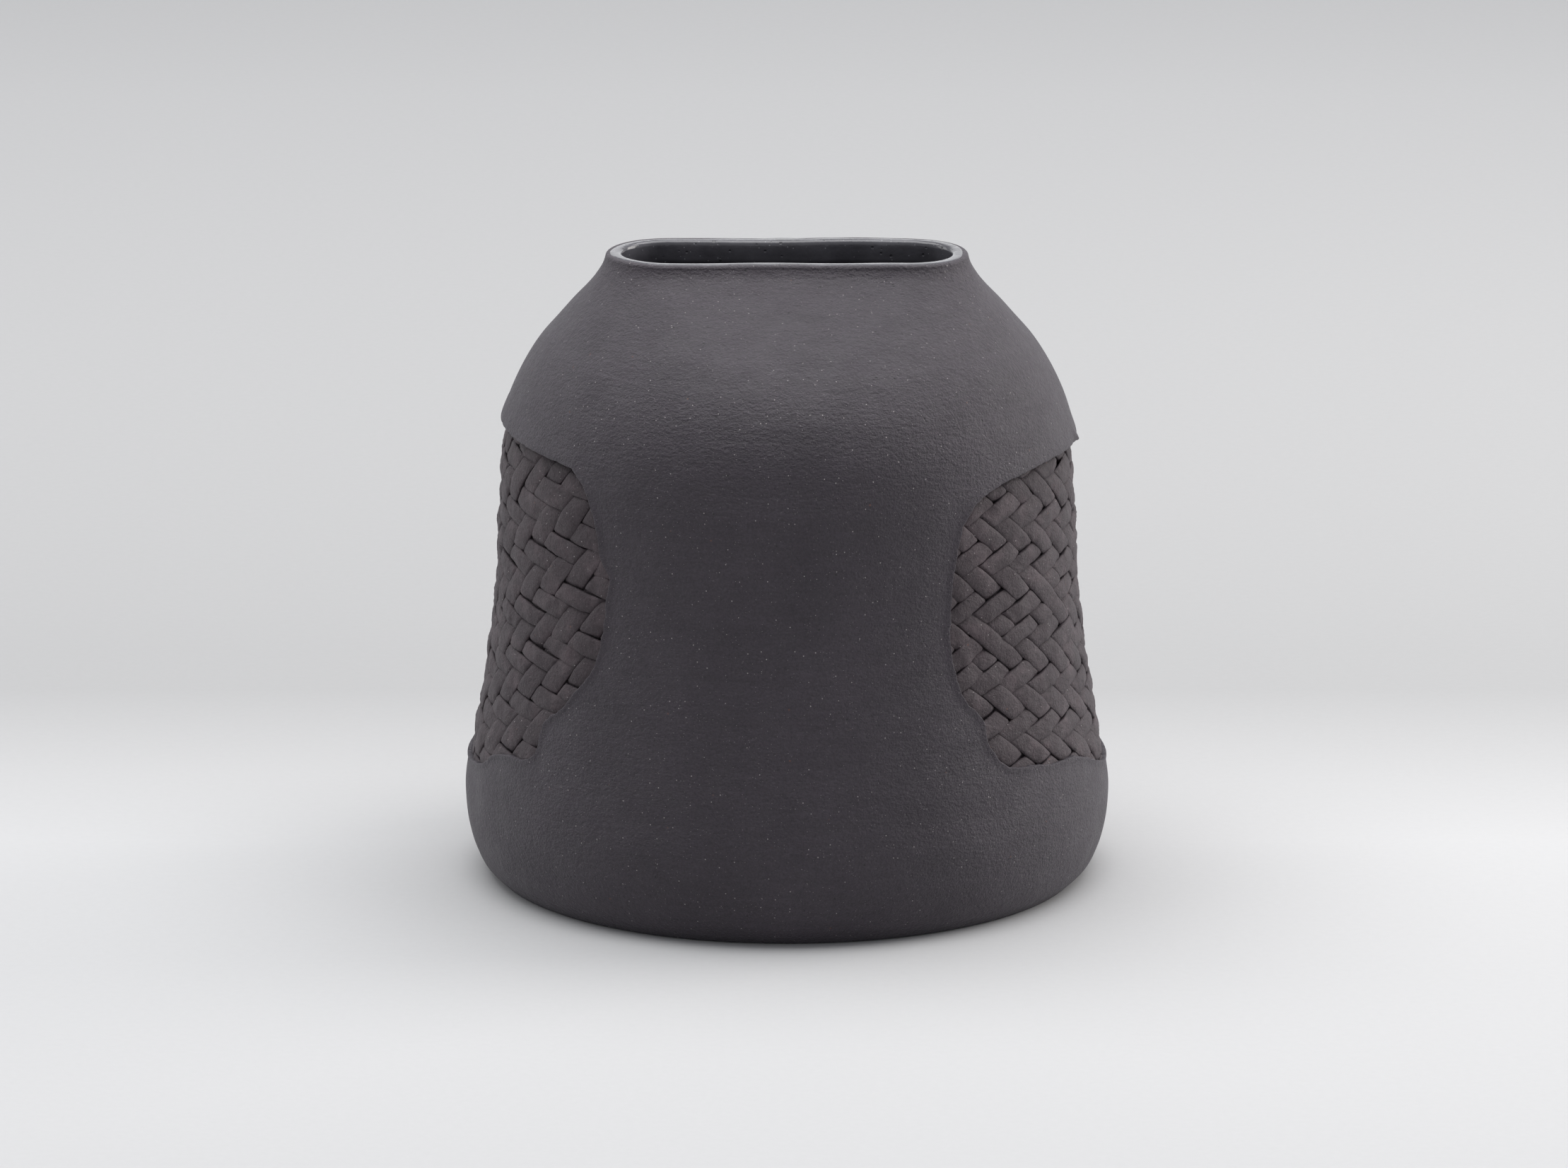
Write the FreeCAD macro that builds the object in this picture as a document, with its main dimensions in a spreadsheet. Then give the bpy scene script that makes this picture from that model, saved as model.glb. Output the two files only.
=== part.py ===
import FreeCAD, Part
import Sketcher
import math
import os
from BOPTools import SplitAPI

# Hand-built black clay pot: round body, mouth squeezed to a slot, smooth outer
# skin torn open at both sides over woven clay strips, glazed inside.
# Millimetres, +Z up, origin at the centre of the foot, front towards -Y.

doc = FreeCAD.newDocument("clay_pot")
sheet = doc.addObject("Spreadsheet::Sheet", "Dimensions")
row_count = 0


def give(alias, value):
    """Write one driving dimension (or a formula) on the sheet."""
    global row_count
    row_count += 1
    sheet.set("A%d" % row_count, alias)
    sheet.set("B%d" % row_count, str(value))
    sheet.setAlias("B%d" % row_count, alias)


def size(alias):
    return float(sheet.get(alias))


# ---------------------------------------------------------------- dimensions
give("pot_height", 148.8)
give("floor_thickness", 6.5)
give("skin_thickness", 2.0)
give("wall_thickness", 4.4)
give("glaze_thickness", 0.5)
give("round_top", 113.0)
give("rim_start", 143.0)
give("mouth_half_length", 38.6)
give("mouth_half_depth", 11.15)
give("strip_thickness", 1.05)
give("strip_gap", 0.10)
give("panel_recess", 0.80)
give("strip_spacing_gap", 0.45)

# outer radius of the round body, foot to shoulder
BODY = [("foot", 0.0, 69.2), ("heel", 2.2, 71.5), ("slab", 6.5, 73.8),
        ("low", 11.5, 75.2), ("belly", 19.8, 75.9), ("hip", 30.0, 74.9),
        ("flank", 50.0, 71.8), ("waist", 70.0, 69.6), ("chest", 90.0, 68.5),
        ("arm", 105.0, 67.5), ("top", 113.0, 65.6)]
for word, height, radius in BODY:
    give("height_" + word, height)
    give("radius_" + word, radius)

# shoulder sections: height, half length, half depth, and the share of the wall
# thickness left along the length and along the depth (the last level's wall is
# what the mouth leaves)
SHOULDER = [(113.0, 65.60, 65.60, 1.00, 1.00), (117.0, 64.00, 63.40, 1.00, 1.00),
            (122.0, 61.50, 59.90, 1.00, 1.00), (127.0, 58.30, 54.80, 0.98, 0.98),
            (132.0, 54.10, 47.50, 0.92, 0.92), (136.0, 50.70, 39.50, 0.84, 0.84),
            (140.0, 47.10, 30.00, 0.70, 0.66), (143.0, 44.80, 22.50, 0.57, 0.46)]
LAST = len(SHOULDER) - 1
for i, (height, long_half, deep_half, long_share, deep_share) in enumerate(SHOULDER):
    give("level_height_%d_" % i, height)
    give("long_half_%d_" % i, long_half)
    give("deep_half_%d_" % i, deep_half)
    give("long_share_%d_" % i, long_share)
    give("deep_share_%d_" % i, deep_share)
for i in range(len(SHOULDER)):
    lo, hi = max(i - 1, 0), min(i + 1, LAST)
    for axis in ("long", "deep"):
        # how much further a layer reaches level than square to the slope
        formula = "=sqrt(1 + ((%s_half_%d_ - %s_half_%d_) / " % (axis, hi, axis, lo)
        formula += "(level_height_%d_ - level_height_%d_)) ^ 2)" % (hi, lo)
        give("%s_lean_%d_" % (axis, i), formula)

# rim sections above the shoulder
RIM = [(146.0, 43.10, 16.80), (148.3, 42.40, 14.90)]
for i, (height, long_half, deep_half) in enumerate(RIM):
    give("rim_height_%d_" % i, height)
    give("rim_long_%d_" % i, long_half)
    give("rim_deep_%d_" % i, deep_half)
doc.recompute()

SKIN = size("skin_thickness")
GLAZE = size("glaze_thickness")
FLOOR = size("floor_thickness")
TOP = size("round_top")


# ------------------------------------------------------------ round body work
def body_points(inset):
    points = []
    for word, _, _ in BODY:
        radius = size("radius_" + word)
        points.append(FreeCAD.Vector(radius - inset, 0, size("height_" + word)))
    return points


def body_curve(inset):
    curve = Part.BSplineCurve()
    curve.interpolate(body_points(inset))
    return curve


OUTER = body_curve(0.0)
SPAN = OUTER.LastParameter - OUTER.FirstParameter
RADII = [OUTER.value(OUTER.FirstParameter + SPAN * k / 400.0) for k in range(401)]


def radius_at(height):
    """Outer radius of the round body at a height."""
    if height <= RADII[0].z:
        return RADII[0].x
    for low, high in zip(RADII, RADII[1:]):
        if height <= high.z:
            part = (height - low.z) / (high.z - low.z)
            return low.x + part * (high.x - low.x)
    return RADII[-1].x


def body_edge(inset, low_height, high_height):
    """Profile edge of a layer between two heights."""
    curve = body_curve(inset)
    ends = []
    for height in (low_height, high_height):
        near = FreeCAD.Vector(radius_at(height) - inset, 0, height)
        ends.append(curve.parameter(near))
    return curve.toShape(ends[0], ends[1])


def face_between(outer_edge, inner_edge):
    """Flat face closed between two profile edges running upwards."""
    out_low, out_high = outer_edge.valueAt(outer_edge.FirstParameter), \
        outer_edge.valueAt(outer_edge.LastParameter)
    in_low, in_high = inner_edge.valueAt(inner_edge.FirstParameter), \
        inner_edge.valueAt(inner_edge.LastParameter)
    wire = Part.Wire(Part.__sortEdges__([outer_edge, inner_edge,
                                         Part.makeLine(out_low, in_low),
                                         Part.makeLine(out_high, in_high)]))
    return Part.Face(wire)


def revolve(name, face):
    """Full turn of a profile face about the pot's axis."""
    profile = doc.addObject("Part::Feature", name + "_profile")
    profile.Shape = face
    turned = doc.addObject("Part::Revolution", name)
    turned.Source = profile
    turned.Axis = (0, 0, 1)
    turned.Base = (0, 0, 0)
    turned.Angle = 360
    turned.Solid = True
    return turned


# ------------------------------------------------------------- oval sections
def oval_geometry(sketch, long_half, deep_half, long_rule, deep_rule):
    """Two straights joined by two half rounds, sizes bound to the sheet."""
    straight = long_half - deep_half
    v = FreeCAD.Vector
    up = v(0, 0, 1)
    quarter = math.pi / 2
    sketch.addGeometry(Part.LineSegment(v(-straight, deep_half, 0), v(straight, deep_half, 0)))
    sketch.addGeometry(Part.ArcOfCircle(Part.Circle(v(straight, 0, 0), up, deep_half),
                                        -quarter, quarter))
    sketch.addGeometry(Part.LineSegment(v(straight, -deep_half, 0), v(-straight, -deep_half, 0)))
    sketch.addGeometry(Part.ArcOfCircle(Part.Circle(v(-straight, 0, 0), up, deep_half),
                                        quarter, 3 * quarter))

    rule = Sketcher.Constraint
    sketch.addConstraint(rule("Tangent", 0, 2, 1, 2))
    sketch.addConstraint(rule("Tangent", 1, 1, 2, 1))
    sketch.addConstraint(rule("Tangent", 2, 2, 3, 2))
    sketch.addConstraint(rule("Tangent", 3, 1, 0, 1))
    sketch.addConstraint(rule("PointOnObject", 1, 3, -1))
    sketch.addConstraint(rule("PointOnObject", 3, 3, -1))
    k = sketch.addConstraint(rule("DistanceX", -1, 1, 1, 3, straight))
    sketch.setExpression("Constraints[%d]" % k, "(%s) - (%s)" % (long_rule, deep_rule))
    k = sketch.addConstraint(rule("DistanceX", 3, 3, -1, 1, straight))
    sketch.setExpression("Constraints[%d]" % k, "(%s) - (%s)" % (long_rule, deep_rule))
    k = sketch.addConstraint(rule("Radius", 1, deep_half))
    sketch.setExpression("Constraints[%d]" % k, deep_rule)


def round_geometry(sketch, radius, radius_rule):
    """The round start of a dome, split like the ovals that follow it."""
    middle = FreeCAD.Vector(0, 0, 0)
    circle = Part.Circle(middle, FreeCAD.Vector(0, 0, 1), radius)
    for low, high in ((87, 93), (-87, 87), (267, 273), (93, 267)):
        k = sketch.addGeometry(Part.ArcOfCircle(circle, math.radians(low), math.radians(high)))
        sketch.addConstraint(Sketcher.Constraint("Coincident", k, 3, -1, 1))
    for k, after in ((0, 3), (3, 2), (1, 0)):
        sketch.addConstraint(Sketcher.Constraint("Coincident", k, 2, after, 1))
    mark = sketch.addConstraint(Sketcher.Constraint("Radius", 1, radius))
    sketch.setExpression("Constraints[%d]" % mark, radius_rule)


MOUTH = {"long": "mouth_half_length", "deep": "mouth_half_depth"}


def layer(axis, i, depth):
    """Half size of a layer at a shoulder level, as a rule and as a number.

    depth 0 is the outer face, 1 under the skin, 2 inside the wall and 3 the
    face of the glaze. Thicknesses are square to the slope. The last level's
    inner faces are the mouth's own, so that the neck carries straight on.
    """
    rule = "Dimensions.%s_half_%d_" % (axis, i)
    value = size("%s_half_%d_" % (axis, i))
    lean_rule = "Dimensions.%s_lean_%d_" % (axis, i)
    lean = size("%s_lean_%d_" % (axis, i))
    if depth >= 2 and i == LAST:
        rule = "Dimensions." + MOUTH[axis]
        value = size(MOUTH[axis])
        if depth == 2:
            rule += " + Dimensions.glaze_thickness"
            value += GLAZE
        return rule, value
    if depth >= 1:
        rule += " - Dimensions.skin_thickness * " + lean_rule
        value -= SKIN * lean
    if depth >= 2:
        rule += " - Dimensions.wall_thickness * Dimensions.%s_share_%d_ * %s" % (axis, i, lean_rule)
        value -= size("wall_thickness") * size("%s_share_%d_" % (axis, i)) * lean
    if depth >= 3:
        rule += " - Dimensions.glaze_thickness * " + lean_rule
        value -= GLAZE * lean
    return rule, value


def shoulder_loft(name, depth):
    """Solid dome through the shoulder sections of one layer."""
    sections = []
    for i in range(len(SHOULDER)):
        sketch = doc.addObject("Sketcher::SketchObject", "%s_section_%d" % (name, i))
        sketch.setExpression("Placement.Base.z", "Dimensions.level_height_%d_" % i)
        long_rule, long_half = layer("long", i, depth)
        deep_rule, deep_half = layer("deep", i, depth)
        if i == 0:
            round_geometry(sketch, ROUND[depth][1], ROUND[depth][0])
        else:
            oval_geometry(sketch, long_half, deep_half, long_rule, deep_rule)
        sections.append(sketch)
    doc.recompute()
    loft = doc.addObject("Part::Loft", name)
    loft.Sections = sections
    loft.Solid = True
    loft.Ruled = False
    return loft


def cut(name, base, tool):
    result = doc.addObject("Part::Cut", name)
    result.Base = base
    result.Tool = tool
    return result


def fuse(name, pieces):
    result = doc.addObject("Part::MultiFuse", name)
    result.Shapes = pieces
    return result


ROUND = []
rule = "Dimensions.radius_top"
value = size("radius_top")
for word in ("", "skin_thickness", "wall_thickness", "glaze_thickness"):
    if word:
        rule += " - Dimensions." + word
        value -= size(word)
    ROUND.append((rule, value))
dome_outer = shoulder_loft("dome_outer", 0)
dome_under_skin = shoulder_loft("dome_under_skin", 1)
dome_inside = shoulder_loft("dome_inside", 2)
dome_glazed = shoulder_loft("dome_glazed", 3)
doc.recompute()


# ------------------------------------------------- panel openings in the skin
# Outline of each opening: angle from the front (degrees, + to the right) and
# height. The skin was torn by hand, so the edge wanders.
LEFT_OPENING = [(-50, 108.2), (-45.5, 106.0), (-42, 100.3), (-39, 88.7), (-36.7, 83.0),
                (-37.6, 72), (-38.6, 65.3), (-43.8, 55.3), (-50.6, 47.4), (-52.2, 41),
                (-56.7, 36.2), (-67.6, 34.2), (-77, 29), (-90, 27.6), (-108, 28.5),
                (-126, 35), (-136, 52), (-138, 75), (-134, 94), (-122, 106),
                (-104, 109), (-86, 109.4), (-68, 109.2)]
RIGHT_OPENING = [(40, 101.3), (36.5, 96.2), (33.8, 83.7), (32.7, 72), (33.8, 60.3),
                 (37.5, 52), (39.8, 46), (43.3, 38.6), (50.5, 36.2), (64, 34.7),
                 (72.3, 31.6), (85, 27.4), (104, 27.4), (122, 32), (134, 46),
                 (138.5, 66), (137, 86), (128, 99.5), (112, 104.8), (92, 105.6),
                 (70, 105.9), (52, 105.0)]


def around(angle, height, radius):
    """Point on a cylinder, angle in degrees from the front."""
    turn = math.radians(angle)
    return FreeCAD.Vector(radius * math.sin(turn), -radius * math.cos(turn), height)


def opening_fence(outline):
    """Closed ribbon standing square to the wall along an opening's outline."""
    edges = []
    for radius in (50.0, 95.0):
        curve = Part.BSplineCurve()
        curve.interpolate([around(a, z, radius) for a, z in outline], PeriodicFlag=True)
        edges.append(curve.toShape())
    return Part.makeRuledSurface(edges[0], edges[1])


def opening_zone(name, outline, ring):
    """The piece of a ring of space that lies inside one outline."""
    pieces = SplitAPI.slice(ring, [opening_fence(outline)], "Split").Solids
    pieces.sort(key=lambda solid: solid.Volume)
    zone = doc.addObject("Part::Feature", name)
    zone.Shape = pieces[0]
    return zone


RECESS = size("panel_recess") + 2 * size("strip_thickness") + size("strip_gap") + 0.05
inner_edge = body_edge(RECESS, 11.5, 113.0)
far = 92.0
low_point = inner_edge.valueAt(inner_edge.FirstParameter)
high_point = inner_edge.valueAt(inner_edge.LastParameter)
low_far = FreeCAD.Vector(far, 0, low_point.z)
high_far = FreeCAD.Vector(far, 0, high_point.z)
ring_face = Part.Face(Part.Wire([Part.makeLine(low_point, low_far), Part.makeLine(low_far, high_far),
                                 Part.makeLine(high_far, high_point), inner_edge]))
ring = ring_face.revolve(FreeCAD.Vector(0, 0, 0), FreeCAD.Vector(0, 0, 1), 360)
if ring.ShapeType != "Solid":
    ring = Part.Solid(ring.Shells[0])
left_zone = opening_zone("left_zone", LEFT_OPENING, ring)
right_zone = opening_zone("right_zone", RIGHT_OPENING, ring)
both_zones = fuse("both_zones", [left_zone, right_zone])

# ------------------------------------------------------------------ outer skin
slab_height = size("height_slab")
slab_outer = size("radius_slab") - SKIN
foot_inner = size("radius_foot") - SKIN
outer_edge = body_edge(0.0, 0.0, 113.0)
under_edge = body_edge(SKIN, slab_height, 113.0)
foot_point = FreeCAD.Vector(foot_inner, 0, 0)
slab_point = under_edge.valueAt(under_edge.FirstParameter)
skin_wire = Part.Wire([
    Part.makeLine(outer_edge.valueAt(outer_edge.FirstParameter), foot_point),
    Part.makeLine(foot_point, slab_point), under_edge,
    Part.makeLine(under_edge.valueAt(under_edge.LastParameter),
                  outer_edge.valueAt(outer_edge.LastParameter)), outer_edge])
skin_round = revolve("skin_round", Part.Face(skin_wire))
skin_dome = cut("skin_dome", dome_outer, dome_under_skin)
skin_blank = fuse("skin_blank", [skin_round, skin_dome])
outer_skin = cut("outer_skin", skin_blank, both_zones)

# --------------------------------------------------------- structural walls
wall_total = SKIN + size("wall_thickness")
wall_round = revolve("wall_round", face_between(body_edge(SKIN, slab_height, 113.0),
                                                body_edge(wall_total, slab_height, 113.0)))
body_wall = cut("body_wall", wall_round, both_zones)
shoulder_wall = cut("shoulder_wall", dome_under_skin, dome_inside)

# ------------------------------------------------------------------ floor slab
floor_slab = doc.addObject("PartDesign::Body", "floor_slab")
plane = [f for f in floor_slab.Origin.OriginFeatures if f.Role == "XY_Plane"][0]
disc = floor_slab.newObject("Sketcher::SketchObject", "floor_disc")
disc.AttachmentSupport = [(plane, "")]
disc.MapMode = "FlatFace"
disc.addGeometry(Part.Circle(FreeCAD.Vector(0, 0, 0), FreeCAD.Vector(0, 0, 1), foot_inner))
disc.addConstraint(Sketcher.Constraint("Coincident", 0, 3, -1, 1))
mark = disc.addConstraint(Sketcher.Constraint("Radius", 0, foot_inner))
disc.setExpression("Constraints[%d]" % mark, "Dimensions.radius_foot - Dimensions.skin_thickness")
slab = floor_slab.newObject("PartDesign::Pad", "floor_pad")
slab.Profile = disc
slab.setExpression("Length", "Dimensions.floor_thickness")
slab.TaperAngle = math.degrees(math.atan((slab_outer - foot_inner) / slab_height))
floor_slab.Tip = slab
doc.recompute()

# ------------------------------------------------------------------- rim coil
rim_coil = doc.addObject("PartDesign::Body", "rim_coil")
plane = [f for f in rim_coil.Origin.OriginFeatures if f.Role == "XY_Plane"][0]


def rim_section(name, height_rule, height, long_rule, long_half, deep_rule, deep_half):
    sketch = rim_coil.newObject("Sketcher::SketchObject", name)
    sketch.AttachmentSupport = [(plane, "")]
    sketch.MapMode = "FlatFace"
    sketch.AttachmentOffset = FreeCAD.Placement(FreeCAD.Vector(0, 0, height), FreeCAD.Rotation())
    sketch.setExpression("AttachmentOffset.Base.z", height_rule)
    oval_geometry(sketch, long_half, deep_half, long_rule, deep_rule)
    return sketch


rim_sections = [rim_section(
    "rim_foot", "Dimensions.level_height_%d_" % LAST, size("level_height_%d_" % LAST),
    "Dimensions.long_half_%d_" % LAST, size("long_half_%d_" % LAST),
    "Dimensions.deep_half_%d_" % LAST, size("deep_half_%d_" % LAST))]
for i in range(len(RIM)):
    rim_sections.append(rim_section(
        "rim_level_%d" % i, "Dimensions.rim_height_%d_" % i, size("rim_height_%d_" % i),
        "Dimensions.rim_long_%d_" % i, size("rim_long_%d_" % i),
        "Dimensions.rim_deep_%d_" % i, size("rim_deep_%d_" % i)))
rim_loft = rim_coil.newObject("PartDesign::AdditiveLoft", "rim_loft")
rim_loft.Profile = rim_sections[0]
rim_loft.Sections = rim_sections[1:]
rim_coil.Tip = rim_loft
doc.recompute()
slot = rim_section(
    "rim_slot", "Dimensions.rim_height_1_", size("rim_height_1_"),
    "Dimensions.mouth_half_length + Dimensions.glaze_thickness",
    size("mouth_half_length") + GLAZE,
    "Dimensions.mouth_half_depth + Dimensions.glaze_thickness",
    size("mouth_half_depth") + GLAZE)
mouth = rim_coil.newObject("PartDesign::Pocket", "rim_mouth")
mouth.Profile = slot
mouth.Type = 1
rim_coil.Tip = mouth
doc.recompute()

# -------------------------------------------------------------- interior glaze
glaze_total = wall_total + GLAZE
glaze_low = face_between(body_edge(wall_total, slab_height, 113.0),
                         body_edge(glaze_total, slab_height, 113.0))
glaze_side = revolve("glaze_side", glaze_low)
glaze_dome = cut("glaze_dome", dome_inside, dome_glazed)
glaze_floor = doc.addObject("Part::Cylinder", "glaze_floor")
glaze_floor.setExpression("Radius", "Dimensions.radius_slab - Dimensions.skin_thickness"
                          " - Dimensions.wall_thickness")
glaze_floor.setExpression("Height", "Dimensions.glaze_thickness")
glaze_floor.setExpression("Placement.Base.z", "Dimensions.floor_thickness")


def oval_pad(name, height_rule, long_rule, deep_rule, long_half, deep_half, length_rule):
    """Upright oval block from a sketch."""
    sketch = doc.addObject("Sketcher::SketchObject", name + "_outline")
    sketch.setExpression("Placement.Base.z", height_rule)
    oval_geometry(sketch, long_half, deep_half, long_rule, deep_rule)
    block = doc.addObject("Part::Extrusion", name)
    block.Base = sketch
    block.DirMode = "Custom"
    block.Dir = FreeCAD.Vector(0, 0, 1)
    block.Solid = True
    block.setExpression("LengthFwd", length_rule)
    return block


neck_rule = "Dimensions.rim_height_1_ - Dimensions.rim_start"
neck_tube = oval_pad("neck_tube", "Dimensions.rim_start",
                     "Dimensions.mouth_half_length + Dimensions.glaze_thickness",
                     "Dimensions.mouth_half_depth + Dimensions.glaze_thickness",
                     size("mouth_half_length") + GLAZE, size("mouth_half_depth") + GLAZE, neck_rule)
lip_cap = oval_pad("lip_cap", "Dimensions.rim_height_1_", "Dimensions.rim_long_1_",
                   "Dimensions.rim_deep_1_", size("rim_long_1_"), size("rim_deep_1_"),
                   "Dimensions.pot_height - Dimensions.rim_height_1_")
mouth_void = oval_pad("mouth_void", "Dimensions.rim_start - 0.2", "Dimensions.mouth_half_length",
                      "Dimensions.mouth_half_depth", size("mouth_half_length"),
                      size("mouth_half_depth"), "Dimensions.pot_height")
neck_solid = fuse("neck_solid", [neck_tube, lip_cap])
glaze_neck = cut("glaze_neck", neck_solid, mouth_void)
interior_glaze = fuse("interior_glaze", [glaze_side, glaze_dome, glaze_floor, glaze_neck])
doc.recompute()

# ---------------------------------------------------------------- woven strips
# Two families of flat clay strips, over two and under two. s runs round the
# wall away from the front (arc length at a 70 mm radius), z is the height.
# A level strip is a line of constant "course", z = course + climb(s); a rising
# strip is a line of constant "rank", s = rank - lean * z.
ARC = 70.0


def left_climb(s):
    return 0.14 * s


def right_climb(s):
    return 19.0 * (1.0 - math.exp(-(s - 45.0) / 40.0))


# Courses are numbered from the top downwards, starting at "first". From course
# "slip" on, the weaver's count is out by two.
LEFT = {"side": -1, "climb": left_climb, "lean": 0.84, "rank": 146.7, "step": 7.35, "slip": 99,
        "courses": [104.8, 100.0, 95.5, 90.6, 83.9, 79.0, 73.8, 69.0, 64.2, 59.3, 54.6, 50.8,
                    46.3, 42.0, 37.4, 32.6, 27.8, 23.0, 18.2, 13.4, 8.6, 3.8],
        "first": -3, "outline": LEFT_OPENING, "zone": left_zone}
RIGHT = {"side": 1, "climb": right_climb, "lean": 1.235, "rank": 175.6, "step": 7.8, "slip": 6,
         "courses": [107.4, 102.2, 97.0, 91.9, 86.2, 80.4, 75.8, 70.8, 65.3, 60.2, 55.4, 50.4,
                     44.8, 39.8, 35.1, 30.4, 25.6, 20.8, 16.0, 11.2],
         "first": -3, "outline": RIGHT_OPENING, "zone": right_zone}

THICK = size("strip_thickness")
LIFT = THICK + size("strip_gap")
UNDER = size("panel_recess") + LIFT
CLEAR = size("strip_spacing_gap")
PACE = 1.1
RANKS = range(-20, 16)


def crossing(panel, course, rank):
    """Where a course line meets a rank line, as (s, z)."""
    s = rank - panel["lean"] * course
    for _ in range(40):
        s = rank - panel["lean"] * (course + panel["climb"](s))
    return s, course + panel["climb"](s)


def over(panel, a, b):
    """True where level strip a passes over rising strip b."""
    slip = 2 if a >= panel["slip"] else 0
    return (b - a + slip) % 4 in (0, 1)


def ease(value, low, high):
    part = min(max((value - low) / (high - low), 0.0), 1.0)
    return part * part * (3.0 - 2.0 * part)


def blend(value, spans):
    """Height of a strip: spans are (low, high, raised) in running order."""
    if value <= spans[0][1]:
        return spans[0][2]
    for before, after in zip(spans, spans[1:]):
        if value <= after[0]:
            return before[2] + (after[2] - before[2]) * ease(value, before[1], after[0])
        if value <= after[1]:
            return after[2]
    return spans[-1][2]


def inside(panel, s, z, margin):
    """Whether a point is in the box round an opening, grown by a margin."""
    angle = panel["side"] * math.degrees(s / ARC)
    angles = [p[0] for p in panel["outline"]]
    heights = [p[1] for p in panel["outline"]]
    grow = math.degrees(margin / ARC)
    return (min(angles) - grow < angle < max(angles) + grow
            and min(heights) - margin < z < max(heights) + margin)


def strip_solid(panel, lines):
    """Solid strip from two edges, each a list of (s, z, lift)."""
    rails = []
    for line in lines:
        for drop in (0.0, THICK):
            poles = []
            for s, z, lift in line:
                radius = radius_at(z) - UNDER + lift * LIFT - drop
                poles.append(around(panel["side"] * math.degrees(s / ARC), z, radius))
            curve = Part.BSplineCurve()
            curve.buildFromPoles(poles, False, 3)
            rails.append(curve)
    top_a, low_a, top_b, low_b = rails
    pairs = [(top_a, top_b), (low_a, low_b), (top_a, low_a), (top_b, low_b)]
    faces = [Part.makeRuledSurface(p.toShape(), q.toShape()) for p, q in pairs]
    for pick in ("StartPoint", "EndPoint"):
        corners = [getattr(c, pick) for c in (top_a, top_b, low_b, low_a)]
        across = Part.makeRuledSurface(Part.makeLine(corners[0], corners[1]),
                                       Part.makeLine(corners[3], corners[2]))
        faces.append(across)
    shell = Part.Shell(faces)
    shell.sewShape()
    solid = Part.Solid(shell)
    if solid.Volume < 0:
        solid.reverse()
    return solid


def bounds_of(panel, family):
    """(low, high) edges of every strip of a family, in running order."""
    if family == "level":
        centres = panel["courses"]
        spans = []
        for k, centre in enumerate(centres):
            above = centres[k - 1] - centre if k > 0 else centre - centres[k + 1]
            below = centre - centres[k + 1] if k + 1 < len(centres) else above
            spans.append((centre - below / 2 + CLEAR / 2, centre + above / 2 - CLEAR / 2))
        return spans
    spans = []
    half = panel["step"] / 2 - CLEAR * 0.75
    for b in RANKS:
        centre = panel["rank"] + panel["step"] * b
        spans.append((centre - half, centre + half))
    return spans


def weave(panel, family):
    """All strips of one family, trimmed to the panel's opening."""
    courses = bounds_of(panel, "level")
    ranks = bounds_of(panel, "rising")
    solids = []
    if family == "level":
        for k, (low, high) in enumerate(courses):
            a = k + panel["first"]
            spans = [(r0, r1, 1.0 if over(panel, a, b) else 0.0)
                     for b, (r0, r1) in zip(RANKS, ranks)]
            lines = []
            marks = [ranks[0][0] + PACE * j for j in range(int((ranks[-1][1] - ranks[0][0]) / PACE))]
            keep = [m for m in marks if inside(panel, *crossing(panel, (low + high) / 2, m), 3.0)]
            if len(keep) < 8:
                continue
            for edge in (low, high):
                lines.append([crossing(panel, edge, m) + (blend(m, spans),) for m in keep])
            solids.append(strip_solid(panel, lines))
    else:
        for b, (low, high) in zip(RANKS, ranks):
            spans = [(c0, c1, 0.0 if over(panel, k + panel["first"], b) else 1.0)
                     for k, (c0, c1) in enumerate(courses)]
            spans.reverse()
            marks = [spans[0][0] + PACE * j for j in range(int((spans[-1][1] - spans[0][0]) / PACE))]
            keep = [m for m in marks if inside(panel, *crossing(panel, m, (low + high) / 2), 3.0)]
            if len(keep) < 8:
                continue
            lines = []
            for edge in (low, high):
                lines.append([crossing(panel, m, edge) + (blend(m, spans),) for m in keep])
            solids.append(strip_solid(panel, lines))
    trimmed = []
    for solid in solids:
        trimmed += [s for s in solid.common(panel["zone"].Shape).Solids if s.Volume > 5.0]
    return trimmed


strip_nodes = []
for name, panel, family in (("left_level_strips", LEFT, "level"),
                            ("left_rising_strips", LEFT, "rising"),
                            ("right_level_strips", RIGHT, "level"),
                            ("right_rising_strips", RIGHT, "rising")):
    strips = doc.addObject("Part::Feature", name)
    strips.Shape = Part.makeCompound(weave(panel, family))
    strip_nodes.append(strips)
doc.recompute()

# --------------------------------------------------------------------- checks
nodes = [floor_slab, body_wall, shoulder_wall, rim_coil, outer_skin, interior_glaze] + strip_nodes
for thing in doc.Objects:
    for word in ("Invalid", "Error"):
        if word in thing.State:
            raise RuntimeError("%s is %s" % (thing.Name, word))
os.makedirs("parts", exist_ok=True)
for node in nodes:
    shape = node.Shape
    if shape.isNull() or not shape.isValid():
        raise RuntimeError(node.Name + " has no valid shape")
    node.Label = node.Name
    shape.exportStep("parts/%s.step" % node.Name)
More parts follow.
